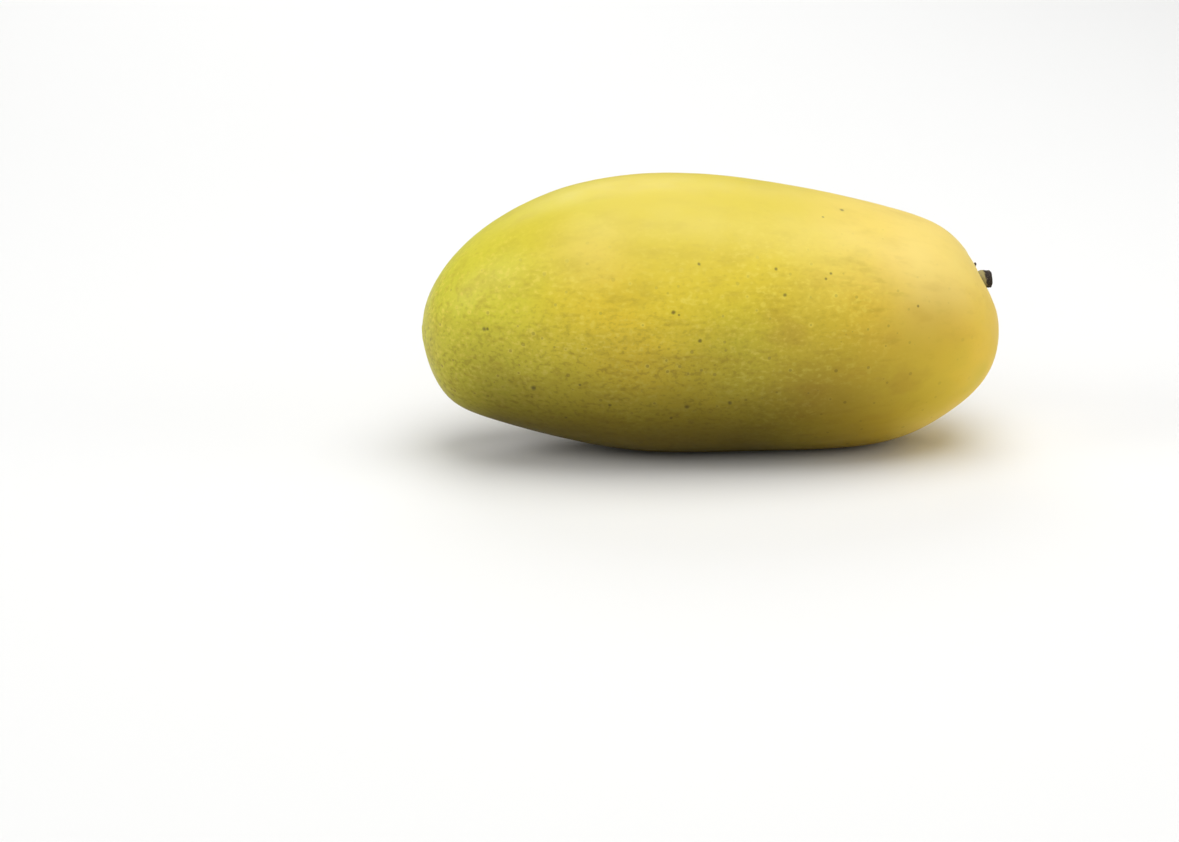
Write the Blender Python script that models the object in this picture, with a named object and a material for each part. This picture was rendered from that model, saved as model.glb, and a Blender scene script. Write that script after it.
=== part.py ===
"""A long, ripe mango that rests on its lower edge, with the dry stub of its stalk.

Metres, +Z up. +X runs from the blossom end to the stalk end, the fruit's flat cheeks face -Y and
+Y, and Z = 0 is the surface that it rests on. The origin lies on that surface, under the middle
of the whole thing.
"""
import math

import bmesh
import bpy
import numpy as np
from mathutils import Vector

MM = 0.001

# Driving dimensions
LENGTH = 156.0 * MM
HEIGHT = 75.2 * MM
THICKNESS = 67.0 * MM
REST_CUT = 0.6 * MM
STALK_LEAN = 6.0 * MM

STALK_RADIUS = 2.0 * MM
STALK_LENGTH = 3.8 * MM
STALK_ROOT = 2.0 * MM
STALK_AIM = (0.84, 0.42, -0.38)
FITTING_GAP = 0.3 * MM
PIT_DEPTH = 1.9 * MM
PIT_RADIUS = 6.0 * MM

# The side outline from the blossom end to the stalk, as parts of the length and of the height
BLOSSOM_TIP = (0.002, 0.447)
UPPER_LINE = (
    (0.030, 0.645),
    (0.104, 0.809),
    (0.229, 0.943),
    (0.385, 0.998),
    (0.551, 0.976),
    (0.711, 0.908),
    (0.843, 0.833),
    (0.920, 0.748),
)
STALK_SEAT = (0.975, 0.600)
LOWER_LINE = (
    (0.036, 0.234),
    (0.117, 0.135),
    (0.254, 0.053),
    (0.400, 0.004),
    (0.555, 0.000),
    (0.700, 0.000),
    (0.814, 0.025),
    (0.902, 0.106),
    (0.978, 0.247),
    (1.000, 0.430),
)

# The cross-sections: breadth over height at both ends, how square, and how much fuller on top
ROUNDNESS_BLOSSOM = 0.82
ROUNDNESS_STALK = 1.0
SQUARENESS = 2.12
FULL_ABOVE = 0.035

# Faces
RING_SIDES = 64
RING_COUNT = 50
FIRST_RING = 0.012
STALK_SIDES = 28


def clear_scene():
    for thing in list(bpy.data.objects):
        bpy.data.objects.remove(thing, do_unlink=True)


def finish(name, colour, roughness):
    """A plain opaque finish with one colour, given as linear red, green and blue."""
    material = bpy.data.materials.new(name)
    material.use_nodes = True
    shader = material.node_tree.nodes["Principled BSDF"]
    shader.inputs["Base Color"].default_value = (*colour, 1.0)
    shader.inputs["Roughness"].default_value = roughness
    shader.inputs["Metallic"].default_value = 0.0
    return material


def smooth_loop(points):
    """A smooth closed line through the points: at step t it passes point number t."""
    places = np.array(points)
    count = len(places)
    weights = np.zeros((count, count))
    for row in range(count):
        weights[row, row] = 4.0 / 6.0
        weights[row, (row - 1) % count] = 1.0 / 6.0
        weights[row, (row + 1) % count] = 1.0 / 6.0
    handles = np.linalg.solve(weights, places)

    def at(t):
        span = math.floor(t)
        f = t - span
        shares = (
            (1.0 - f) ** 3 / 6.0,
            (3.0 * f ** 3 - 6.0 * f ** 2 + 4.0) / 6.0,
            (-3.0 * f ** 3 + 3.0 * f ** 2 + 3.0 * f + 1.0) / 6.0,
            f ** 3 / 6.0,
        )
        place = sum(share * handles[(span + step) % count] for step, share in enumerate(shares, -1))
        return Vector((float(place[0]), 0.0, float(place[1])))

    return at


def fruit_outline():
    """The side outline in metres, from the blossom tip over the top to the stalk and back below."""
    around = (BLOSSOM_TIP, *UPPER_LINE, STALK_SEAT, *reversed(LOWER_LINE))
    return smooth_loop([((along - 0.5) * LENGTH, up * HEIGHT) for along, up in around])


OUTLINE = fruit_outline()
UPPER_STEPS = len(UPPER_LINE) + 1
ALL_STEPS = UPPER_STEPS + len(LOWER_LINE) + 1


def edges_at(share):
    """The upper and the lower edge at a share of the way from the blossom tip to the stalk."""
    upper = OUTLINE(UPPER_STEPS * share)
    lower = OUTLINE(ALL_STEPS - (ALL_STEPS - UPPER_STEPS) * share)
    return upper, lower


def tallest_section():
    """The distance between the two edges where they are furthest apart."""
    tried = 100
    pairs = [edges_at(i / tried) for i in range(tried)]
    return max((upper - lower).length for upper, lower in pairs)


ROUNDNESS_MIDDLE = THICKNESS / tallest_section()


def blend(start, end, share):
    eased = share * share * (3.0 - 2.0 * share)
    return start + (end - start) * eased


def roundness_at(share):
    """Round at the stalk, flatter in the middle and flattest at the blossom end."""
    middle = 0.5
    if share < middle:
        return blend(ROUNDNESS_BLOSSOM, ROUNDNESS_MIDDLE, share / middle)
    return blend(ROUNDNESS_MIDDLE, ROUNDNESS_STALK, (share - middle) / (1.0 - middle))


def lean_at(share):
    """How far the fruit's long axis has bent over towards +Y."""
    return STALK_LEAN * share ** 3


SEAT = OUTLINE(UPPER_STEPS) + Vector((0.0, STALK_LEAN, 0.0))


def stalk_direction():
    """Straight out of the skin at the stalk."""
    small_step = 0.02
    before = OUTLINE(UPPER_STEPS - small_step)
    after = OUTLINE(UPPER_STEPS + small_step)
    along = (after - before).normalized()
    return Vector((-along.z, 0.0, along.x))


OUTWARD = stalk_direction()


def pit_drop(radius):
    """How far the skin dips round the stalk, at a distance from the stalk's axis."""
    return PIT_DEPTH * math.exp(-((radius / PIT_RADIUS) ** 2))


def dipped(place):
    """Moves a point of the skin down into the shallow pit that holds the stalk."""
    from_seat = place - SEAT
    radius = (from_seat - OUTWARD * from_seat.dot(OUTWARD)).length
    facing = max(0.0, 1.0 + from_seat.dot(OUTWARD) / PIT_RADIUS)
    return place - OUTWARD * pit_drop(radius) * min(1.0, facing)


def cross_section(share):
    """One ring of the skin, square to the line that joins the upper and the lower edge."""
    upper, lower = edges_at(share)
    centre = (upper + lower) / 2.0
    rise = (upper - lower) / 2.0
    breadth = rise.length * roundness_at(share)
    ring = []
    for side in range(RING_SIDES):
        angle = 2.0 * math.pi * side / RING_SIDES
        across = math.cos(angle)
        up = math.sin(angle)
        reach = (abs(across) ** SQUARENESS + abs(up) ** SQUARENESS) ** (-1.0 / SQUARENESS)
        fullness = 1.0 + FULL_ABOVE * up
        sideways = Vector((0.0, across * reach * fullness * breadth + lean_at(share), 0.0))
        ring.append(dipped(centre + rise * up * reach + sideways))
    return ring


def last_ring_share():
    """The place along the fruit where a ring is just as wide as the hole for the stalk."""
    wanted = STALK_RADIUS + FITTING_GAP
    near = 0.9
    far = 1.0
    for _ in range(40):
        middle = (near + far) / 2.0
        upper, lower = edges_at(middle)
        if (upper - lower).length / 2.0 > wanted:
            near = middle
        else:
            far = middle
    return near


def add_ring(mesh, places):
    corners = [mesh.verts.new(place) for place in places]
    edges = [mesh.edges.new((corners[i - 1], corners[i])) for i in range(len(corners))]
    return corners, edges


def middle_of(places):
    return sum(places, Vector()) / len(places)


def close_with_point(mesh, corners, place):
    """Fills a ring with a fan of faces round one point."""
    tip = mesh.verts.new(place)
    for i in range(len(corners)):
        mesh.faces.new((corners[i - 1], corners[i], tip))


def skin_over(mesh, rings):
    """Joins each ring to the next one with a band of faces."""
    for (_, edges), (_, next_edges) in zip(rings, rings[1:]):
        bmesh.ops.bridge_loops(mesh, edges=edges + next_edges)


def object_from(mesh, name, material, origin):
    """Turns a bmesh into a smooth object whose origin lies at a named place."""
    bmesh.ops.recalc_face_normals(mesh, faces=mesh.faces)
    bmesh.ops.translate(mesh, verts=mesh.verts, vec=-origin)
    data = bpy.data.meshes.new(name)
    mesh.to_mesh(data)
    mesh.free()
    data.materials.append(material)
    data.shade_smooth()
    data.set_sharp_from_angle(angle=math.radians(35.0))
    thing = bpy.data.objects.new(name, data)
    thing.location = origin
    bpy.context.collection.objects.link(thing)
    return thing


def cut_rest_spot(mesh):
    """Cuts the belly off flat where the fruit rests."""
    lowest = min(corner.co.z for corner in mesh.verts)
    cut = bmesh.ops.bisect_plane(
        mesh,
        geom=mesh.verts[:] + mesh.edges[:] + mesh.faces[:],
        plane_co=(0.0, 0.0, lowest + REST_CUT),
        plane_no=(0.0, 0.0, -1.0),
        clear_outer=True,
    )
    rim = [part for part in cut["geom_cut"] if isinstance(part, bmesh.types.BMEdge)]
    spot = bmesh.ops.contextual_create(mesh, geom=rim)["faces"]
    bmesh.ops.poke(mesh, faces=spot)
    return lowest + REST_CUT


def build_fruit():
    """The whole fruit in one piece, and the middle of the mouth of its stalk's hole."""
    mesh = bmesh.new()
    last = last_ring_share()
    shares = [FIRST_RING + (last - FIRST_RING) * i / (RING_COUNT - 1) for i in range(RING_COUNT)]
    rings = [add_ring(mesh, cross_section(share)) for share in shares]
    mouth = cross_section(last)
    hole_depth = OUTWARD * (STALK_ROOT + FITTING_GAP)
    rings.append(add_ring(mesh, [place - hole_depth for place in mouth]))
    skin_over(mesh, rings)
    close_with_point(mesh, rings[0][0], OUTLINE(0.0))
    floor_corners = rings[-1][0]
    close_with_point(mesh, floor_corners, middle_of(mouth) - hole_depth)
    rest_height = cut_rest_spot(mesh)
    skin = finish("ripe mango skin", (0.69, 0.50, 0.052), 0.42)
    fruit = object_from(mesh, "fruit", skin, Vector((0.0, 0.0, rest_height)))
    return fruit, middle_of(mouth)


# The stalk's outline: distance from the skin and thickness, as parts of its length and radius
STALK_OUTLINE = (
    (0.07, 1.00),
    (0.20, 0.92),
    (0.36, 0.86),
    (0.52, 0.92),
    (0.66, 1.08),
    (0.80, 1.20),
    (0.92, 1.17),
    (1.00, 1.02),
)
BEND_SHARE = 0.55
CUT_SLANT = 0.18


def stalk_way(distance):
    """Which way the stalk runs: straight out of its hole, and then bent down and sideways."""
    bend = min(1.0, max(0.0, distance / (BEND_SHARE * STALK_LENGTH)))
    return OUTWARD.lerp(Vector(STALK_AIM).normalized(), bend).normalized()


def build_stalk(mouth):
    """A short woody stub, rooted in the hole, thicker at the joint where it broke off."""
    mesh = bmesh.new()
    levels = [(-STALK_ROOT, STALK_RADIUS)]
    levels += [(far * STALK_LENGTH, thick * STALK_RADIUS) for far, thick in STALK_OUTLINE]
    rings = []
    centre = mouth - OUTWARD * STALK_ROOT
    reached = -STALK_ROOT
    for distance, radius in levels:
        centre = centre + stalk_way((distance + reached) / 2.0) * (distance - reached)
        reached = distance
        way = stalk_way(distance)
        up = way.cross(Vector((0.0, 1.0, 0.0))).normalized()
        across = up.cross(way)
        slant = CUT_SLANT * max(0.0, distance / STALK_LENGTH) ** 2
        places = []
        for side in range(STALK_SIDES):
            angle = 2.0 * math.pi * side / STALK_SIDES
            outward = across * math.cos(angle) + (up + way * slant) * math.sin(angle)
            places.append(centre + outward * radius)
        rings.append(add_ring(mesh, places))
    skin_over(mesh, rings)
    for corners, _ in (rings[0], rings[-1]):
        close_with_point(mesh, corners, middle_of([corner.co for corner in corners]))
    bark = finish("dry mango stalk", (0.075, 0.052, 0.036), 0.8)
    return object_from(mesh, "stem", bark, mouth)


def stand_over_origin(pieces):
    """Moves the pieces together so that they rest on Z = 0, centred over the origin."""
    places = [piece.location + corner.co for piece in pieces for corner in piece.data.vertices]
    lows = [min(place[axis] for place in places) for axis in range(3)]
    highs = [max(place[axis] for place in places) for axis in range(3)]
    under = Vector(((lows[0] + highs[0]) / 2.0, (lows[1] + highs[1]) / 2.0, lows[2]))
    for piece in pieces:
        piece.location -= under


def main():
    clear_scene()
    fruit, mouth = build_fruit()
    stalk = build_stalk(mouth)
    stand_over_origin((fruit, stalk))


main()
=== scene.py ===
"""A long ripe mango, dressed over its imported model: fine skin, stalk and the dry collar round it."""
import math

import bmesh
import bpy
from bpy.props import FloatProperty, FloatVectorProperty, IntProperty, PointerProperty
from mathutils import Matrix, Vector
from mathutils.geometry import interpolate_bezier


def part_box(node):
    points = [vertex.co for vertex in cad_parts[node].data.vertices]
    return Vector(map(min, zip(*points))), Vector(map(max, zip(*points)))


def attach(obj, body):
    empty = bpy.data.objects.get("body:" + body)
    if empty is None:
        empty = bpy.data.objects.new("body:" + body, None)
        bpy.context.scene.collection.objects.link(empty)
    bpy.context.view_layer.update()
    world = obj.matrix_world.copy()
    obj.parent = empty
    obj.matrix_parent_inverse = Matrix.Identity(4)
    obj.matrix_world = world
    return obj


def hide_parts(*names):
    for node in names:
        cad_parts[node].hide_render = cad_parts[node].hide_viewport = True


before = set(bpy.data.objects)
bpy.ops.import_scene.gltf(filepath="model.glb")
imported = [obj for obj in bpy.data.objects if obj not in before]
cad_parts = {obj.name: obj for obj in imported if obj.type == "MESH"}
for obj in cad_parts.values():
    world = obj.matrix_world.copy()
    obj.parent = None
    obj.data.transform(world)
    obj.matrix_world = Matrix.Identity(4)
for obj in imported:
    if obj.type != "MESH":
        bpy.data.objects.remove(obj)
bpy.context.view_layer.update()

bl_info = {
    "name": "Ripe Mango",
    "version": (1, 0, 0),
    "blender": (4, 5, 0),
    "location": "View3D > Sidebar > Mango",
    "description": "Builds the skin, stalk and collar of a long ripe mango over its packed model",
    "category": "Object",
}

MM = 0.001
FRUIT = "fruit"
STALK = "stem"

FRUIT_LOW, FRUIT_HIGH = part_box(FRUIT)

# The photograph's frame, and the place of the fruit's middle in it, in its pixels
PHOTO_WIDTH = 1179
PHOTO_HEIGHT = 842
FRUIT_MIDDLE_PIXEL = (713.0, 311.3)
SENSOR_WIDTH = 36.0


def linear(hex_colour):
    """A colour written as sRGB hex, as the linear values with alpha that shaders take."""
    parts = [int(hex_colour[i:i + 2], 16) / 255.0 for i in (1, 3, 5)]
    return tuple(p / 12.92 if p <= 0.04045 else ((p + 0.055) / 1.055) ** 2.4 for p in parts) + (1.0,)


def colour_setting(name, description, hex_colour):
    return FloatVectorProperty(
        name=name, description=description, subtype="COLOR", size=4, min=0.0, max=1.0,
        default=linear(hex_colour),
    )


def length_setting(name, description, millimetres):
    return FloatProperty(
        name=name, description=description, unit="LENGTH", min=0.0, precision=5,
        default=millimetres * MM,
    )


class MangoSkinSettings(bpy.types.PropertyGroup):
    fineness: IntProperty(
        name="Fineness", description="How often each face of the packed fruit is halved",
        default=2, min=1, max=3,
    )
    swell: length_setting("Swell", "Height of the broad, soft unevenness of the fruit", 0.7)
    swell_width: length_setting("Swell width", "Distance between two soft swellings", 34.0)
    ripple: length_setting("Ripple", "Height of the small unevenness of the skin", 0.12)
    ripple_width: length_setting("Ripple width", "Distance between two small ripples", 7.0)
    blossom_green: colour_setting("Blossom green", "Skin that is least ripe, at the blossom end", "#DBD63B")
    ripe_yellow: colour_setting("Ripe yellow", "Skin along the middle of the fruit", "#E8D032")
    flank_green: colour_setting("Flank green", "Skin that ripens late, in the middle of a flank", "#C6BB2C")
    flank_gold: colour_setting("Flank gold", "Skin that ripened early, in the middle of a flank", "#ECC72C")
    flank_ochre: colour_setting("Flank ochre", "Skin that browned a little, low on a flank", "#B88F26")
    shoulder_gold: colour_setting("Shoulder gold", "Ripest skin, towards the stalk", "#EBC63A")
    # Peach of sunlit skin, also used for a painted highlight on top and for painted bounce light low at the
    # stalk end
    peach_and_painted_light: colour_setting("Peach and painted light", "Sunlit skin above and round the stalk", "#FADE78")
    # Both belly colours darken the lower side: partly the skin's duller colour there, partly painted shade
    brown_and_painted_shade: colour_setting("Brown and painted shade", "Ripe skin of the shaded side, towards the stalk", "#A07C1C")
    olive_and_painted_shade: colour_setting("Olive and painted shade", "Dull skin of the side that grew in the shade", "#4D3E08")
    fleck_yellow: colour_setting("Fleck yellow", "Fine pale dots that the skin breathes through", "#F5E25C")
    mottle_olive: colour_setting("Mottle olive", "Soft dull stains between the dots", "#B79A22")
    dot_olive: colour_setting("Dot olive", "Small dark dots, thickest low on the fruit", "#65520F")
    speck_brown: colour_setting("Speck brown", "Dry specks of dead skin", "#33280D")


class MangoStalkSettings(bpy.types.PropertyGroup):
    thickness: length_setting("Thickness", "Diameter of the stalk where it leaves the fruit", 3.9)
    knots: length_setting("Knots", "Height of the stalk's lumps", 0.55)
    bark: length_setting("Bark", "Height of the bark's fine cracks and scales", 0.22)
    bark_light: colour_setting("Bark light", "Dry bark where the stalk leaves the fruit", "#A89A62")
    bark_dark: colour_setting("Bark dark", "Weathered bark and the broken end", "#2A211B")
    wood: colour_setting("Wood", "Grey wood in the middle of the broken end", "#8C7A60")


class MangoCollarSettings(bpy.types.PropertyGroup):
    lobes: IntProperty(
        name="Lobes", description="Lobes of the dried collar, one for each leaf that held the blossom",
        default=5, min=3, max=8,
    )
    crust: length_setting("Crust", "Height of the crust's crumbs", 0.35)
    crust_dark: colour_setting("Crust dark", "Dried flower base, in its hollows", "#35271B")
    crust_light: colour_setting("Crust light", "Dried flower base, on its worn edges", "#7D6642")


class MangoStageSettings(bpy.types.PropertyGroup):
    azimuth: FloatProperty(
        name="Azimuth", description="How far the camera has gone round towards the blossom end",
        subtype="ANGLE", default=math.radians(4.0),
    )
    elevation: FloatProperty(
        name="Elevation", description="How high the camera looks down from",
        subtype="ANGLE", default=math.radians(18.0),
    )
    distance: length_setting("Distance", "From the camera to the middle of the fruit", 860.0)
    lens: FloatProperty(
        name="Lens", description="Focal length on a 36 mm wide sensor", unit="CAMERA",
        default=98.0, min=10.0,
    )
    floor: colour_setting("Floor", "The pale surface under the fruit", "#F6F6F5")


def deselect_all():
    if bpy.context.object and bpy.context.object.mode != "OBJECT":
        bpy.ops.object.mode_set(mode="OBJECT")
    bpy.ops.object.select_all(action="DESELECT")


def pick(piece):
    """Makes one object the only selected and the active one."""
    deselect_all()
    piece.select_set(True)
    bpy.context.view_layer.objects.active = piece


def apply_modifier(piece, name, kind, **settings):
    """Adds a modifier with its settings and applies it at once."""
    pick(piece)
    modifier = piece.modifiers.new(name, kind)
    for setting, value in settings.items():
        setattr(modifier, setting, value)
    bpy.ops.object.modifier_apply(modifier=modifier.name)


def soft_texture(name, width, depth=2):
    """Cloudy unevenness for a Displace modifier, with lumps of the given width."""
    texture = bpy.data.textures.new(name, "CLOUDS")
    texture.noise_scale = width
    texture.noise_depth = depth
    texture.noise_basis = "ORIGINAL_PERLIN"
    return texture


def add_node(tree, kind, feeds=None, **settings):
    """Adds one node with its settings, and feeds its inputs with values or other nodes."""
    made = tree.nodes.new(kind)
    for name, value in settings.items():
        setattr(made, name, value)
    for key, feed in (feeds or {}).items():
        if isinstance(key, int):
            socket = made.inputs[key]
        else:
            socket = next(one for one in made.inputs if one.enabled and one.name == key)
        if isinstance(feed, bpy.types.Node):
            feed = next(one for one in feed.outputs if one.enabled)
        if isinstance(feed, bpy.types.NodeSocket):
            tree.links.new(feed, socket)
        else:
            socket.default_value = feed
    return made


def layered_colour(tree, ground, layers):
    """Lays colours over a ground colour, and returns the colour and each layer's share by name.

    A layer is its name, its colour, its strength and the ramps that it follows. A ramp is the value
    that it reads, and where on that value's scale the layer starts and is full.
    """
    colour = add_node(tree, "ShaderNodeRGB")
    colour.outputs[0].default_value = ground
    shares = {}
    for name, over, share, *ramps in layers:
        for value, start, full in ramps:
            share = add_node(
                tree, "ShaderNodeMapRange",
                {"Value": value, "From Min": start, "From Max": full, "To Max": share},
                interpolation_type="SMOOTHSTEP",
            )
        shares[name] = share
        colour = add_node(
            tree, "ShaderNodeMix", {"Factor": share, "A": colour, "B": over}, data_type="RGBA",
        )
    return colour.outputs["Result"], shares


def new_material(name):
    """An empty material with its Principled shader, and object coordinates in millimetres."""
    material = bpy.data.materials.new(name)
    material.use_nodes = True
    tree = material.node_tree
    shader = tree.nodes["Principled BSDF"]
    places = add_node(tree, "ShaderNodeTexCoord")
    in_mm = add_node(
        tree, "ShaderNodeVectorMath", {0: places.outputs["Object"], "Scale": 1.0 / MM},
        operation="SCALE",
    )
    return material, tree, shader, in_mm


def give(piece, material, slot, *nodes):
    """Gives a finished piece its material and its body, and hides the nodes that it stands for. The slot is
    not used.
    """
    piece.data.materials.clear()
    piece.data.materials.append(material)
    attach(piece, "root")
    if nodes:
        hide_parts(*nodes)


class StalkSeat:
    """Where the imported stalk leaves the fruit, which way, and where it ends."""

    root_depth = 2.0 * MM
    # The stalk broke off at a slant, and the break faces this way
    break_outward = Vector((0.97, 0.0, 0.22)).normalized()

    def __init__(self):
        inside = (FRUIT_LOW + FRUIT_HIGH) / 2.0
        near, far = sorted(self.flat_ends(), key=lambda end: (end[0] - inside).length)
        self.root, inward = near
        self.end, _ = far
        self.outward = -inward
        self.mouth = self.root + self.outward * self.root_depth
        self.sideways = self.outward.cross(Vector((0.0, 1.0, 0.0))).normalized()
        self.across = self.outward.cross(self.sideways)

    def flat_ends(self):
        """The middle and the direction of the stalk's two largest flats, which are its ends."""
        flats = {}
        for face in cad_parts[STALK].data.polygons:
            flats.setdefault(tuple(round(part, 2) for part in face.normal), []).append(face)
        by_area = sorted(flats.values(), key=lambda faces: sum(face.area for face in faces))
        for faces in by_area[-2:]:
            area = sum(face.area for face in faces)
            middle = sum((face.center * face.area for face in faces), Vector()) / area
            yield middle, faces[0].normal.copy()

    def around(self, radius, angle, height):
        """A point round the stalk's axis, at a height over the mouth of its hole."""
        aside = self.sideways * math.cos(angle) + self.across * math.sin(angle)
        return self.mouth + aside * radius + self.outward * height

    def seen_from_mouth(self, point):
        """The distance from the stalk's axis, the angle round it and the height over the mouth."""
        offset = point - self.mouth
        sideways = offset.dot(self.sideways)
        across = offset.dot(self.across)
        return math.hypot(sideways, across), math.atan2(across, sideways), offset.dot(self.outward)


SEAT = StalkSeat()
BLOSSOM_TIP = min((corner.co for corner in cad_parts[FRUIT].data.vertices), key=lambda c: c.x).copy()


def camera_pose(settings):
    """Where the camera stands, how it is turned, and what a photograph's pixel spans one metre ahead."""
    away = settings.azimuth
    down = settings.elevation
    forward = Vector((math.sin(away) * math.cos(down), math.cos(away) * math.cos(down), -math.sin(down)))
    turn = forward.to_track_quat("-Z", "Y")
    pixel = SENSOR_WIDTH / settings.lens / PHOTO_WIDTH
    aside = (FRUIT_MIDDLE_PIXEL[0] - PHOTO_WIDTH / 2.0) * pixel * settings.distance
    above = (PHOTO_HEIGHT / 2.0 - FRUIT_MIDDLE_PIXEL[1]) * pixel * settings.distance
    middle = Vector((0.0, 0.0, (FRUIT_LOW.z + FRUIT_HIGH.z) / 2.0))
    place = middle - turn @ Vector((aside, above, -settings.distance))
    return place, turn, pixel


def seen_on(piece, settings, pixel):
    """The point of a piece that lies at a pixel of the photograph."""
    place, turn, span = camera_pose(settings)
    ray = turn @ Vector(
        ((pixel[0] - PHOTO_WIDTH / 2.0) * span, (PHOTO_HEIGHT / 2.0 - pixel[1]) * span, -1.0)
    )
    hit, point, _, _ = piece.ray_cast(place, ray.normalized())
    if not hit:
        raise RuntimeError(f"Nothing of {piece.name} lies at pixel {pixel}")
    return point


# Soft patches of the near cheek: where the photograph has them, how far they reach, how strong, colour
PATCHES = (
    ((735.0, 345.0), 19.0 * MM, 0.64, "flank_green"),
    ((800.0, 322.0), 20.0 * MM, 0.35, "mottle_olive"),
    ((600.0, 315.0), 24.0 * MM, 0.45, "flank_gold"),
    ((815.0, 395.0), 22.0 * MM, 0.45, "flank_ochre"),
    ((882.0, 332.0), 24.0 * MM, 0.40, "flank_ochre"),
    ((470.0, 365.0), 17.0 * MM, 0.40, "flank_green"),
    ((945.0, 320.0), 19.0 * MM, 0.34, "flank_ochre"),
    # Painted highlight: pale peach in the band of the broad shine on top
    ((587.0, 248.0), 18.0 * MM, 0.32, "peach_and_painted_light"),
    ((640.0, 364.0), 17.0 * MM, 0.50, "flank_gold"),
    ((868.0, 306.0), 20.0 * MM, 0.36, "flank_gold"),
)

# Dry specks that show on the near cheek: where the photograph has them, and their radius in mm
SPECKS = (
    ((533.5, 388.0), 0.62), ((484.0, 329.0), 0.50), ((487.5, 329.0), 0.34), ((673.5, 312.5), 0.46),
    ((679.0, 315.0), 0.26), ((842.0, 210.0), 0.50), ((823.0, 217.0), 0.28), ((699.0, 264.0), 0.36),
    ((776.0, 269.0), 0.36), ((785.0, 295.0), 0.42), ((831.0, 273.5), 0.30), ((826.0, 279.0), 0.30),
    ((700.0, 341.0), 0.44), ((687.0, 407.0), 0.55), ((730.0, 403.0), 0.50), ((671.0, 418.0), 0.36),
    ((610.0, 405.0), 0.38), ((580.0, 385.0), 0.34), ((566.0, 417.5), 0.36), ((918.0, 306.0), 0.30),
)


def skin_fields(tree, in_mm):
    """What the skin's colour and wax follow, by name: uneven noises, and places along and up the fruit.

    A noise has its width and length in mm, its detail and a seed. Real flecks and grains are half as
    wide, and are drawn coarser so that they show.
    """
    fields = {}
    for name, width, length, detail, seed in (
        ("patches", 30.0, 30.0, 2.0, 0.0),
        ("clouds", 6.0, 14.0, 3.0, 31.0),
        ("stains", 2.0, 8.0, 3.0, 19.0),
        ("crowds", 14.0, 22.0, 2.0, 57.0),
        ("flecks", 1.1, 1.7, 2.0, 7.0),
        ("grain", 0.9, 0.9, 4.0, 3.0),
        ("wax", 8.0, 8.0, 4.0, 11.0),
    ):
        stretched = add_node(
            tree, "ShaderNodeVectorMath",
            {0: in_mm, 1: (1.0 / length, 1.0 / width, 1.0 / width), 2: (seed, seed, seed)},
            operation="MULTIPLY_ADD",
        )
        fields[name] = add_node(
            tree, "ShaderNodeTexNoise", {"Vector": stretched, "Scale": 1.0, "Detail": detail},
        )
    axes = add_node(tree, "ShaderNodeSeparateXYZ", {"Vector": in_mm})
    fields["length"] = axes.outputs["X"]
    # Both places waver by some mm with the patches, so that no layer starts on a straight line
    for name, axis, blur in (("along", "X", 40.0), ("height", "Z", 8.0)):
        fields[name] = add_node(
            tree, "ShaderNodeMath", {0: fields["patches"], 1: blur, 2: axes.outputs[axis]},
            operation="MULTIPLY_ADD",
        )
    return fields


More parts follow.
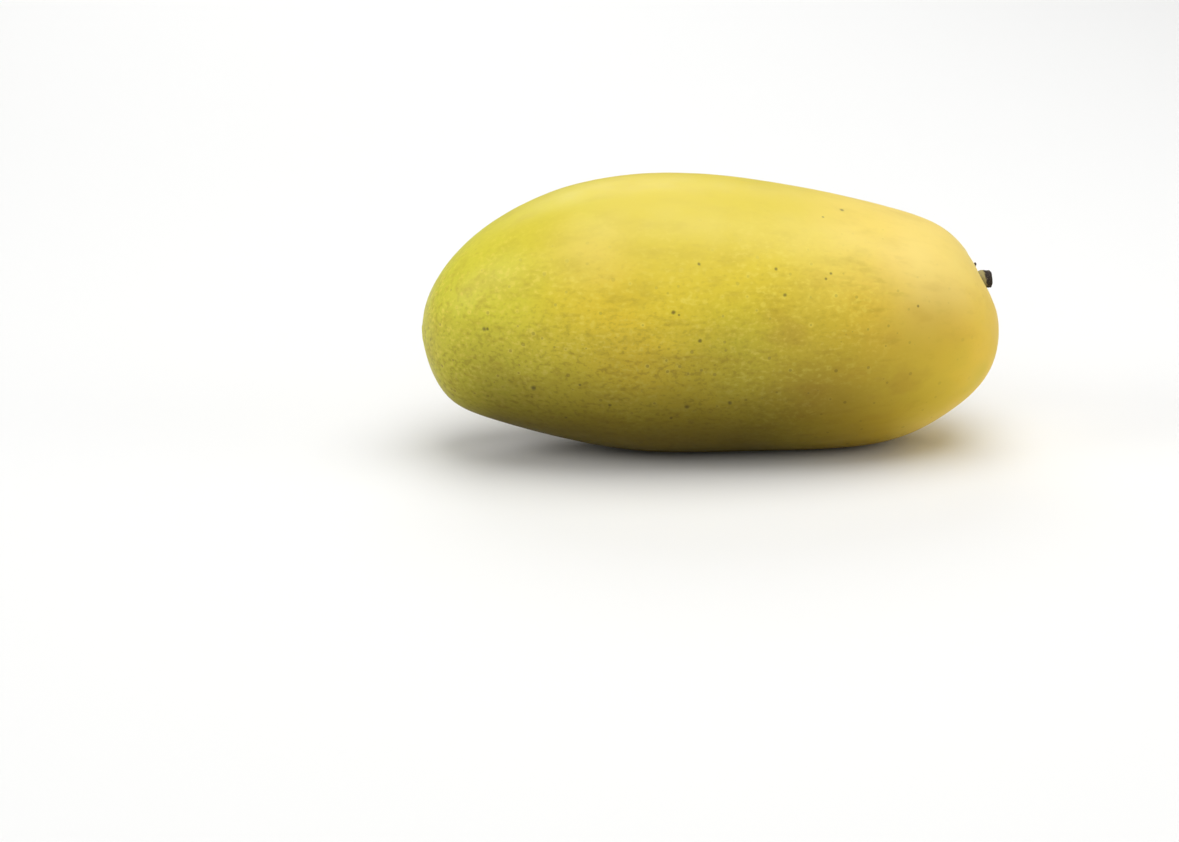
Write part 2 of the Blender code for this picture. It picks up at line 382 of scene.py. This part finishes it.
def skin_layers(tree, in_mm, fields, settings, patches, specks):
    """The skin's colour layers from the bottom up, as layered_colour takes them.

    A ramp on a place starts and is full at so many mm along or up the fruit.
    """
    along = fields["along"]
    height = fields["height"]

    # The painted shade of the lower side is darkest in the middle, and less so towards both ends
    shaded_stretch = ((fields["length"], 68.0, 6.0), (fields["length"], -92.0, -56.0))
    ripe_shade_stretch = ((fields["length"], 6.0, 36.0), (fields["length"], 76.0, 38.0))
    # The skin is plainest on top and towards the stalk
    flecked_stretch = ((height, 78.0, 50.0), (along, 84.0, 24.0))
    not_by_stalk = (along, 100.0, 50.0)

    # One dot in each cell: how far it is, less its size, for the pale ring and for the dark middle
    dot_spacing = 2.9
    largest_ring = 0.29
    largest_middle = 0.19
    cells = add_node(tree, "ShaderNodeTexVoronoi", {"Vector": in_mm, "Scale": 1.0 / dot_spacing})
    luck = add_node(tree, "ShaderNodeSeparateColor", {"Color": cells.outputs["Color"]})
    outside_ring, outside_middle = (
        add_node(
            tree, "ShaderNodeMath", {0: luck.outputs[channel], 1: -size, 2: cells.outputs["Distance"]},
            operation="MULTIPLY_ADD",
        )
        for channel, size in (("Green", largest_ring), ("Red", largest_middle))
    )

    soft_patches = []
    for middle, metres, strength, colour_name in patches:
        reach = metres / MM
        distance = add_node(
            tree, "ShaderNodeVectorMath", {0: in_mm, 1: tuple(middle / MM)}, operation="DISTANCE",
        )
        blurred = add_node(
            tree, "ShaderNodeMath", {0: fields["clouds"], 1: 0.5 * reach, 2: distance.outputs["Value"]},
            operation="MULTIPLY_ADD",
        )
        soft_patches.append((
            "soft patch", getattr(settings, colour_name), strength, (blurred, 1.2 * reach, 0.2 * reach),
        ))

    # The distance to the nearest dry speck, in that speck's own radii, with ragged edges
    nearest = fields["grain"]
    for number, (middle, radius) in enumerate(specks):
        distance = add_node(
            tree, "ShaderNodeVectorMath", {0: in_mm, 1: tuple(middle / MM)}, operation="DISTANCE",
        )
        in_radii = add_node(
            tree, "ShaderNodeMath", {0: distance.outputs["Value"], 1: 1.0 / radius, 2: fields["grain"]},
            operation="MULTIPLY_ADD",
        )
        nearest = in_radii if number == 0 else add_node(
            tree, "ShaderNodeMath", {0: nearest, 1: in_radii}, operation="MINIMUM",
        )
    return (
        ("blossom end", settings.blossom_green, 1.0, (along, 0.0, -58.0)),
        ("stalk end", settings.shoulder_gold, 1.0, (along, 40.0, 90.0)),
        # Partly the peach of sunlit skin and partly a painted highlight: paler on top towards the stalk
        ("shoulder", settings.peach_and_painted_light, 1.0, (along, 20.0, 84.0), (height, 36.0, 58.0)),
        ("flank", settings.flank_green, 0.35, (fields["patches"], 0.47, 0.60), (height, 60.0, 24.0)),
        # Painted shade: the top away from the stalk is dulled a little towards green
        ("top", settings.flank_green, 0.30, (height, 58.0, 76.0), (fields["length"], 46.0, 16.0)),
        *soft_patches,
        (
            "clouds", settings.mottle_olive, 0.26, (fields["clouds"], 0.46, 0.74), (height, 96.0, 50.0),
            not_by_stalk,
        ),
        (
            "browned streaks", settings.flank_ochre, 0.34, (fields["clouds"], 0.48, 0.30),
            (along, 0.0, 40.0), (along, 94.0, 56.0), (height, 68.0, 44.0),
        ),
        (
            "stains", settings.mottle_olive, 0.38, (fields["stains"], 0.52, 0.74), (height, 73.0, 46.0),
            not_by_stalk,
        ),
        ("dull flecks", settings.mottle_olive, 0.22, (fields["flecks"], 0.47, 0.28), *flecked_stretch),
        ("pale flecks", settings.fleck_yellow, 0.38, (fields["flecks"], 0.52, 0.74), *flecked_stretch),
        (
            "crowded flecks", settings.fleck_yellow, 0.36, (fields["flecks"], 0.5, 0.7),
            (fields["crowds"], 0.44, 0.6), *flecked_stretch,
        ),
        ("rings", settings.fleck_yellow, 0.42, (outside_ring, 0.06, -0.10), *flecked_stretch),
        (
            "pale grains", settings.fleck_yellow, 0.15, (fields["grain"], 0.53, 0.70),
            (height, 72.0, 46.0), (along, 88.0, 16.0),
        ),
        (
            "dark grains", settings.dot_olive, 0.17, (fields["grain"], 0.46, 0.30),
            (height, 62.0, 34.0), (along, 84.0, 16.0),
        ),
        (
            "dark clumps", settings.dot_olive, 0.22, (fields["flecks"], 0.47, 0.33),
            (height, 58.0, 30.0), (along, 60.0, 10.0),
        ),
        # Painted shade, partly the duller skin of the lower side: it darkens to brown towards the stalk and
        # to olive in the middle
        ("ripe belly", settings.brown_and_painted_shade, 0.60, (height, 48.0, 16.0), *ripe_shade_stretch),
        ("belly", settings.olive_and_painted_shade, 0.93, (height, 54.5, 12.0), *shaded_stretch),
        # Painted bounce light: a pale peach band low on the fruit towards the stalk end
        ("painted bounce light", settings.peach_and_painted_light, 0.5, (height, 24.0, 10.0), (fields["length"], 42.0, 60.0)),
        ("dots", settings.dot_olive, 0.5, (outside_middle, 0.03, -0.04), (height, 80.0, 24.0), not_by_stalk),
        ("specks", settings.speck_brown, 0.66, (nearest, 2.3, 0.7)),
    )


def waxy_mango_skin(settings, patches, specks):
    """Ripe mango skin, smooth and waxed by the fruit itself.

    The wax gives the eye a broad, soft shine with no sharp edge. Under it the colour goes from
    green at the blossom end to gold and peach round the stalk and to olive below. The olive and
    brown low on the fruit are partly its duller skin and partly painted shade. The paler peach on top,
    towards the stalk and in one patch, is partly a painted highlight, a slight green dulling on top is
    painted shade, and a pale peach band low at the stalk end is painted bounce light. Fine pale dots,
    dull stains and a few dry brown specks keep it from looking painted.
    """
    material, tree, shader, in_mm = new_material("waxy mango skin")
    fields = skin_fields(tree, in_mm)
    colour, shares = layered_colour(
        tree, settings.ripe_yellow, skin_layers(tree, in_mm, fields, settings, patches, specks),
    )
    tree.links.new(colour, shader.inputs["Base Color"])

    # The wax is uneven, and thinner on the side that grew in the shade, over heights in mm
    for name, value, start, full, least, most in (
        ("Roughness", fields["wax"], 0.3, 0.7, 0.40, 0.52),
        ("Specular IOR Level", fields["height"], 20.0, 64.0, 0.12, 0.66),
    ):
        wax = add_node(
            tree, "ShaderNodeMapRange",
            {"Value": value, "From Min": start, "From Max": full, "To Min": least, "To Max": most},
        )
        tree.links.new(wax.outputs["Result"], shader.inputs[name])
    relief = add_node(
        tree, "ShaderNodeMath", {0: shares["rings"], 1: 0.6, 2: fields["grain"]}, operation="MULTIPLY_ADD",
    )
    bump = add_node(tree, "ShaderNodeBump", {"Strength": 0.16, "Distance": 0.07 * MM, "Height": relief})
    tree.links.new(bump.outputs["Normal"], shader.inputs["Normal"])
    shader.inputs["IOR"].default_value = 1.48
    shader.inputs["Subsurface Weight"].default_value = 0.06
    shader.inputs["Subsurface Radius"].default_value = (1.0, 0.65, 0.2)
    shader.inputs["Subsurface Scale"].default_value = 2.0 * MM
    return material


class MANGO_OT_skin(bpy.types.Operator):
    """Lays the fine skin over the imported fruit, with its soft unevenness and its blossom scar"""

    bl_idname = "mango.skin"
    bl_label = "Skin"

    # The dry speck that the blossom left, in mm as the other specks are
    scar_radius = 0.8

    def execute(self, context):
        settings = context.scene.mango_skin
        piece = bpy.data.objects.new("mango_skin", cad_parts[FRUIT].data.copy())
        context.collection.objects.link(piece)
        self.join_triangles(piece)
        apply_modifier(
            piece, "Finer", "SUBSURF", levels=settings.fineness, render_levels=settings.fineness,
        )
        free = self.corners_that_may_move(piece)
        apply_modifier(
            piece, "Swell", "DISPLACE", texture=soft_texture("swell", settings.swell_width, 1),
            strength=settings.swell, mid_level=0.5, vertex_group=free.name,
        )
        apply_modifier(
            piece, "Ripple", "DISPLACE", texture=soft_texture("ripple", settings.ripple_width),
            strength=settings.ripple, mid_level=0.5, vertex_group=free.name,
        )
        self.dent_blossom_scar(piece)
        self.pucker_round_stalk(piece)
        piece.data.shade_smooth()
        stage = context.scene.mango_stage
        patches = [(seen_on(piece, stage, pixel), *rest) for pixel, *rest in PATCHES]
        specks = [(seen_on(piece, stage, pixel), radius) for pixel, radius in SPECKS]
        specks.append((BLOSSOM_TIP, self.scar_radius))
        give(piece, waxy_mango_skin(settings, patches, specks), "skin", FRUIT)
        return {"FINISHED"}

    def join_triangles(self, piece):
        """Welds the copy's loose triangles, joins them in pairs and evens out its two worst places."""
        pick(piece)
        bpy.ops.object.mode_set(mode="EDIT")
        bpy.ops.mesh.select_all(action="SELECT")
        bpy.ops.mesh.remove_doubles(threshold=0.01 * MM)
        bpy.ops.mesh.tris_convert_to_quads(
            face_threshold=math.radians(40.0), shape_threshold=math.radians(60.0),
        )
        self.even_rest_spot(piece)
        self.even_blossom_tip(piece)
        bpy.ops.object.mode_set(mode="OBJECT")

    def even_rest_spot(self, piece):
        """Welds the slivers along the edge of the rest spot, and makes the spot one flat fan."""
        low = 0.1 * MM
        sliver = 0.3 * MM
        mesh = bmesh.from_edit_mesh(piece.data)
        bpy.ops.mesh.select_all(action="DESELECT")
        mesh.select_mode = {"VERT"}
        for corner in mesh.verts:
            corner.select = corner.co.z < low
        bmesh.update_edit_mesh(piece.data)
        bpy.ops.mesh.remove_doubles(threshold=sliver)
        mesh = bmesh.from_edit_mesh(piece.data)
        for corner in mesh.verts:
            if corner.co.z < low:
                corner.co.z = 0.0
        for face in mesh.faces:
            face.select = all(corner.co.z == 0.0 for corner in face.verts)
        bmesh.update_edit_mesh(piece.data)
        bpy.ops.mesh.dissolve_faces()
        bpy.ops.mesh.poke()

    def even_blossom_tip(self, piece):
        """Puts an even grid of faces in place of the fan that closes the blossom end."""
        mesh = bmesh.from_edit_mesh(piece.data)
        tip = min(mesh.verts, key=lambda corner: (corner.co - BLOSSOM_TIP).length)
        rim = [next(edge for edge in face.edges if tip not in edge.verts) for face in tip.link_faces]
        bmesh.ops.delete(mesh, geom=[tip], context="VERTS")
        bpy.ops.mesh.select_all(action="DESELECT")
        mesh.select_mode = {"EDGE"}
        for edge in rim:
            edge.select = True
        bmesh.update_edit_mesh(piece.data)
        bpy.ops.mesh.fill_grid(span=len(rim) // 4)

    def corners_that_may_move(self, piece):
        """A group that lets the skin's corners move, less so near the rest spot and the stalk's hole."""
        floor_reach = 4.0 * MM
        hole_edge = 2.6 * MM
        hole_reach = 3.0 * MM
        free = piece.vertex_groups.new(name="free")
        for corner in piece.data.vertices:
            radius, _, level = SEAT.seen_from_mouth(corner.co)
            from_hole = (radius - hole_edge) / hole_reach if abs(level) < FRUIT_HIGH.z / 2.0 else 1.0
            share = min(1.0, corner.co.z / floor_reach, max(0.0, from_hole))
            free.add([corner.index], share, "REPLACE")
        return free

    def dent_blossom_scar(self, piece):
        """A tiny dimple with a raised edge where the blossom fell off."""
        reach = 2.6 * MM
        depth = 0.35 * MM
        for corner in piece.data.vertices:
            share = (corner.co - BLOSSOM_TIP).length / reach
            if share < 1.0:
                # Three quarters of a wave: down in the middle, and up before it fades
                corner.co.x += depth * math.cos(share * math.pi * 1.5) * (1.0 - share)

    def pucker_round_stalk(self, piece):
        """Faint ridges that run out of the stalk's pit, where the skin shrank as the stalk dried."""
        near = 2.5 * MM
        reach = 13.0 * MM
        height = 0.16 * MM
        ridges = 7.0
        for corner in piece.data.vertices:
            radius, angle, level = SEAT.seen_from_mouth(corner.co)
            share = (radius - near) / (reach - near)
            if 0.0 < share < 1.0 and abs(level) < reach:
                ridge = math.cos(ridges * angle + 1.3 * math.sin(2.0 * angle))
                corner.co += SEAT.outward * height * ridge * math.sin(share * math.pi) * (1.0 - share)


def dry_stalk_bark(settings):
    """Dead wood of the fruit's stalk, dried on the fruit.

    It gives the eye a dull, finely cracked skin, greenish beige near the fruit and nearly black
    at the joint where it broke off, with paler wood in the break.
    """
    cracks_per_mm = 1.6
    material, tree, shader, in_mm = new_material("dry stalk bark")
    from_break = add_node(
        tree, "ShaderNodeVectorMath", {0: in_mm, 1: tuple(-SEAT.end / MM)}, operation="ADD",
    )
    distance = add_node(
        tree, "ShaderNodeVectorMath", {0: from_break, 1: tuple(-SEAT.break_outward)},
        operation="DOT_PRODUCT",
    )
    cracks = add_node(
        tree, "ShaderNodeTexNoise",
        {"Vector": in_mm, "Scale": cracks_per_mm, "Detail": 4.0, "Roughness": 0.65},
    )
    patchy = add_node(
        tree, "ShaderNodeMath", {0: cracks, 1: 1.2, 2: distance.outputs["Value"]}, operation="MULTIPLY_ADD",
    )
    to_break = add_node(
        tree, "ShaderNodeVectorMath", {0: in_mm, 1: tuple(SEAT.end / MM)}, operation="DISTANCE",
    )
    frayed = add_node(
        tree, "ShaderNodeMath", {0: cracks, 1: 2.0, 2: to_break.outputs["Value"]}, operation="MULTIPLY_ADD",
    )
    colour, _ = layered_colour(tree, settings.bark_light, (
        ("weathered", settings.bark_dark, 1.0, (patchy, 2.3, 1.7)),
        ("worn", settings.wood, 0.45, (cracks, 0.54, 0.68)),
        ("broken wood", settings.wood, 0.75, (frayed, 2.1, 1.5)),
    ))
    tree.links.new(colour, shader.inputs["Base Color"])
    bump = add_node(
        tree, "ShaderNodeBump", {"Strength": 0.8, "Distance": 0.15 * MM, "Height": cracks},
    )
    tree.links.new(bump.outputs["Normal"], shader.inputs["Normal"])
    shader.inputs["Roughness"].default_value = 0.8
    return material


class MANGO_OT_stalk(bpy.types.Operator):
    """Grows the dry stalk stub out of its pit, with its thick joint and its broken end"""

    bl_idname = "mango.stalk"
    bl_label = "Stalk"

    # Along the stalk, from its root in the hole to the break: how thick it is, against its setting
    widths = (1.0, 1.0, 1.02, 1.04, 1.06, 1.10, 1.15, 1.20, 1.22, 1.20)
    # How far its curve runs straight out of the fruit, and back from the break, against its length
    straight_root = 0.4
    straight_break = 0.3
    # Insets of the break, from its edge to its middle, and how far each goes out or in, in mm
    break_steps = ((0.10, 0.0), (0.22, 0.0), (0.20, -0.25), (0.45, -0.10), (0.45, 0.12))
    # The tube folds inside its bend, so it is made anew in even faces of this size
    grain = 0.09 * MM
    knot_width = 1.5 * MM
    bark_width = 0.6 * MM

    def execute(self, context):
        settings = context.scene.mango_stalk
        deselect_all()
        bpy.ops.curve.primitive_bezier_curve_add(location=(0.0, 0.0, 0.0))
        piece = context.object
        piece.name = "stalk"
        line = piece.data
        points = line.splines[0].bezier_points
        reach = (SEAT.end - SEAT.mouth).length
        places = [SEAT.root, (SEAT.root + SEAT.mouth) / 2.0]
        places += interpolate_bezier(
            SEAT.mouth, SEAT.mouth + SEAT.outward * reach * self.straight_root,
            SEAT.end - SEAT.break_outward * reach * self.straight_break, SEAT.end,
            len(self.widths) - len(places),
        )
        points.add(len(places) - len(points))
        for point, place, width in zip(points, places, self.widths):
            point.co = place
            point.radius = width
            point.handle_left_type = point.handle_right_type = "AUTO"
        line.bevel_depth = settings.thickness / 2.0
        line.bevel_resolution = 14
        line.resolution_u = 2
        bpy.ops.object.convert(target="MESH")
        self.hollow_the_break(piece)
        apply_modifier(piece, "Even", "REMESH", mode="VOXEL", voxel_size=self.grain)
        apply_modifier(piece, "Soft", "SMOOTH", factor=0.5, iterations=3)
        apply_modifier(
            piece, "Knots", "DISPLACE", texture=soft_texture("knots", self.knot_width),
            strength=settings.knots, mid_level=0.5,
        )
        apply_modifier(
            piece, "Bark", "DISPLACE", texture=soft_texture("bark", self.bark_width, 3),
            strength=settings.bark, mid_level=0.5,
        )
        apply_modifier(piece, "Even again", "REMESH", mode="VOXEL", voxel_size=self.grain)
        piece.data.shade_smooth()
        give(piece, dry_stalk_bark(settings), "stalk_wood", STALK)
        return {"FINISHED"}

    def hollow_the_break(self, piece):
        """Closes both ends and insets the broken one in steps, a rim of bark round softer wood."""
        pick(piece)
        bpy.ops.object.mode_set(mode="EDIT")
        bpy.ops.mesh.select_all(action="SELECT")
        bpy.ops.mesh.fill_holes(sides=0)
        mesh = bmesh.from_edit_mesh(piece.data)
        ends = [face for face in mesh.faces if len(face.verts) > 4]
        if len(ends) != 2:
            raise RuntimeError("The stalk has no two flat ends")
        for face in mesh.faces:
            face.select = False
        broken = min(ends, key=lambda face: (face.calc_center_median() - SEAT.end).length)
        broken.select = True
        mesh.faces.active = broken
        bmesh.update_edit_mesh(piece.data)
        for inset, push in self.break_steps:
            bpy.ops.mesh.inset(thickness=inset * MM)
            bpy.ops.transform.translate(value=SEAT.break_outward * push * MM)
        bpy.ops.mesh.poke()
        bpy.ops.object.mode_set(mode="OBJECT")


def dried_flower_base(settings):
    """What is left of the flower's base, dried to a crust round the stalk.

    It gives the eye a dark, crumbly ring with paler worn edges, dull all over.
    """
    crumbs_per_mm = 1.8
    material, tree, shader, in_mm = new_material("dried flower base")
    crumbs = add_node(
        tree, "ShaderNodeTexNoise",
        {"Vector": in_mm, "Scale": crumbs_per_mm, "Detail": 4.0, "Roughness": 0.65},
    )
    colour, _ = layered_colour(tree, settings.crust_dark, (
        ("worn", settings.crust_light, 1.0, (crumbs, 0.45, 0.70)),
    ))
    tree.links.new(colour, shader.inputs["Base Color"])
    bump = add_node(
        tree, "ShaderNodeBump", {"Strength": 0.8, "Distance": 0.12 * MM, "Height": crumbs},
    )
    tree.links.new(bump.outputs["Normal"], shader.inputs["Normal"])
    shader.inputs["Roughness"].default_value = 0.85
    return material


class MANGO_OT_collar(bpy.types.Operator):
    """Lays the dried, lobed crust of the flower's base round the foot of the stalk"""

    bl_idname = "mango.collar"
    bl_label = "Collar"

    # Its section: distance from the stalk's axis, and height over the skin, in mm
    profile = (
        (4.1, -0.15), (3.75, 0.28), (3.2, 0.42), (2.6, 0.30),
        (2.05, 0.50), (1.6, 0.25), (1.6, -0.60), (3.1, -0.55),
    )
    segments = 60
    # From this distance outwards the crust is lobed and uneven, fully so that much further out, in mm
    lobes_start = 2.0
    lobes_grow = 2.0
    # Where round the stalk one dry lobe has curled up off the skin, and how far, in mm
    curl_angle = math.radians(-12.0)
    curl_height = 1.0
    crumb_width = 0.8 * MM

    def execute(self, context):
        settings = context.scene.mango_collar
        skin = bpy.data.objects["mango_skin"]
        deselect_all()
        bpy.ops.mesh.primitive_torus_add(
            major_radius=3.0 * MM, minor_radius=1.0 * MM, major_segments=self.segments,
            minor_segments=len(self.profile), location=(0.0, 0.0, 0.0),
        )
        piece = context.object
        piece.name = "stalk_collar"
        for number, corner in enumerate(piece.data.vertices):
            segment, step = divmod(number, len(self.profile))
            angle = 2.0 * math.pi * segment / self.segments
            corner.co = self.crust_point(settings, skin, angle, *self.profile[step])
        apply_modifier(piece, "Finer", "SUBSURF", levels=2, render_levels=2)
        apply_modifier(
            piece, "Crumbs", "DISPLACE", texture=soft_texture("crumbs", self.crumb_width, 3),
            strength=settings.crust, mid_level=0.5,
        )
        piece.data.shade_smooth()
        give(piece, dried_flower_base(settings), "stalk_wood")
        return {"FINISHED"}

    def crust_point(self, settings, skin, angle, radius, height):
        """A point of the crust, lobed at its edge, that follows the skin under it."""
        lobe = math.cos(settings.lobes * angle + 0.9)
        uneven = 0.4 * math.sin(2.0 * angle + 0.4) + 0.3 * math.sin(7.0 * angle + 2.0)
        outer = max(0.0, (radius - self.lobes_start) / self.lobes_grow)
        far = (radius + outer * (0.45 * lobe + 0.35 * uneven)) * MM
        raised = height * (1.0 + outer * (0.5 * lobe + 0.5 * uneven)) if height > 0.0 else height
        raised += outer * self.curl_height * max(0.0, math.cos(angle - self.curl_angle)) ** 12

        # The skin is met outside the stalk's hole, from well above it
        hole_edge = 2.7 * MM
        well_above = 12.0 * MM
        above = SEAT.around(max(far, hole_edge), angle, well_above)
        hit, ground, _, _ = skin.ray_cast(above, -SEAT.outward)
        if not hit:
            raise RuntimeError("No skin lies under the collar")
        level = (ground - SEAT.mouth).dot(SEAT.outward)
        return SEAT.around(far, angle, level + raised * MM)


class MANGO_OT_stage(bpy.types.Operator):
    """Sets the pale floor, the soft studio lights and the camera"""

    bl_idname = "mango.stage"
    bl_label = "Stage"

    def execute(self, context):
        settings = context.scene.mango_stage
        self.lay_floor(settings)
        self.hang_lights(context)
        self.place_camera(context, settings)
        context.scene.view_settings.view_transform = "Standard"
        return {"FINISHED"}

    def lay_floor(self, settings):
        metres_across = 8.0
        deselect_all()
        bpy.ops.mesh.primitive_plane_add(size=metres_across, location=(0.0, 0.0, 0.0))
        floor = bpy.context.object
        floor.name = "floor"
        material, _, shader, _ = new_material("matt white board")
        shader.inputs["Base Color"].default_value = settings.floor
        shader.inputs["Roughness"].default_value = 0.8
        floor.data.materials.append(material)

    def hang_lights(self, context):
        # Places, aims and sizes in metres
        fruit_middle = Vector((0.0, 0.0, 0.03))
        for name, place, aim, size, watts in (
            ("overhead softbox", (0.12, -0.04, 0.95), fruit_middle, 1.0, 6.6),
            ("front fill", (-0.2, -1.0, 0.9), fruit_middle, 1.2, 3.4),
            ("left fill", (-1.1, -0.25, 0.6), fruit_middle, 0.6, 3.3),
            ("right fill", (1.1, -0.3, 0.35), fruit_middle, 0.6, 2.1),
            ("backdrop light", (-0.1, 1.0, 0.7), Vector((-0.1, 0.95, 0.0)), 0.9, 4.4),
        ):
            deselect_all()
            bpy.ops.object.light_add(type="AREA", location=place)
            light = context.object
            light.name = name
            light.data.shape = "DISK"
            light.data.size = size
            light.data.energy = watts
            light.rotation_euler = (Vector(place) - aim).to_track_quat("Z", "Y").to_euler()
        world = bpy.data.worlds.new("pale room")
        world.use_nodes = True
        air = world.node_tree.nodes["Background"]
        air.inputs["Color"].default_value = (1.0, 1.0, 1.0, 1.0)
        air.inputs["Strength"].default_value = 0.2
        context.scene.world = world

    def place_camera(self, context, settings):
        deselect_all()
        place, turn, _ = camera_pose(settings)
        bpy.ops.object.camera_add(location=place, rotation=turn.to_euler())
        camera = context.object
        camera.data.lens = settings.lens
        camera.data.sensor_width = SENSOR_WIDTH
        camera.data.dof.use_dof = False
        context.scene.camera = camera


class MANGO_PT_panel(bpy.types.Panel):
    """The mango's pieces and their settings"""

    bl_label = "Mango"
    bl_idname = "MANGO_PT_panel"
    bl_space_type = "VIEW_3D"
    bl_region_type = "UI"
    bl_category = "Mango"

    def draw(self, context):
        groups = (
            ("mango.stage", context.scene.mango_stage),
            ("mango.skin", context.scene.mango_skin),
            ("mango.stalk", context.scene.mango_stalk),
            ("mango.collar", context.scene.mango_collar),
        )
        for operator, settings in groups:
            box = self.layout.box()
            box.operator(operator)
            for name in settings.__annotations__:
                box.prop(settings, name)


CLASSES = (
    MangoSkinSettings,
    MangoStalkSettings,
    MangoCollarSettings,
    MangoStageSettings,
    MANGO_OT_skin,
    MANGO_OT_stalk,
    MANGO_OT_collar,
    MANGO_OT_stage,
    MANGO_PT_panel,
)


def register():
    for cls in CLASSES:
        bpy.utils.register_class(cls)
    bpy.types.Scene.mango_skin = PointerProperty(type=MangoSkinSettings)
    bpy.types.Scene.mango_stalk = PointerProperty(type=MangoStalkSettings)
    bpy.types.Scene.mango_collar = PointerProperty(type=MangoCollarSettings)
    bpy.types.Scene.mango_stage = PointerProperty(type=MangoStageSettings)


def unregister():
    del bpy.types.Scene.mango_stage
    del bpy.types.Scene.mango_collar
    del bpy.types.Scene.mango_stalk
    del bpy.types.Scene.mango_skin
    for cls in reversed(CLASSES):
        bpy.utils.unregister_class(cls)


def main():
    register()
    bpy.ops.mango.stage()
    bpy.ops.mango.skin()
    bpy.ops.mango.stalk()
    bpy.ops.mango.collar()


if __name__ == "__main__":
    main()
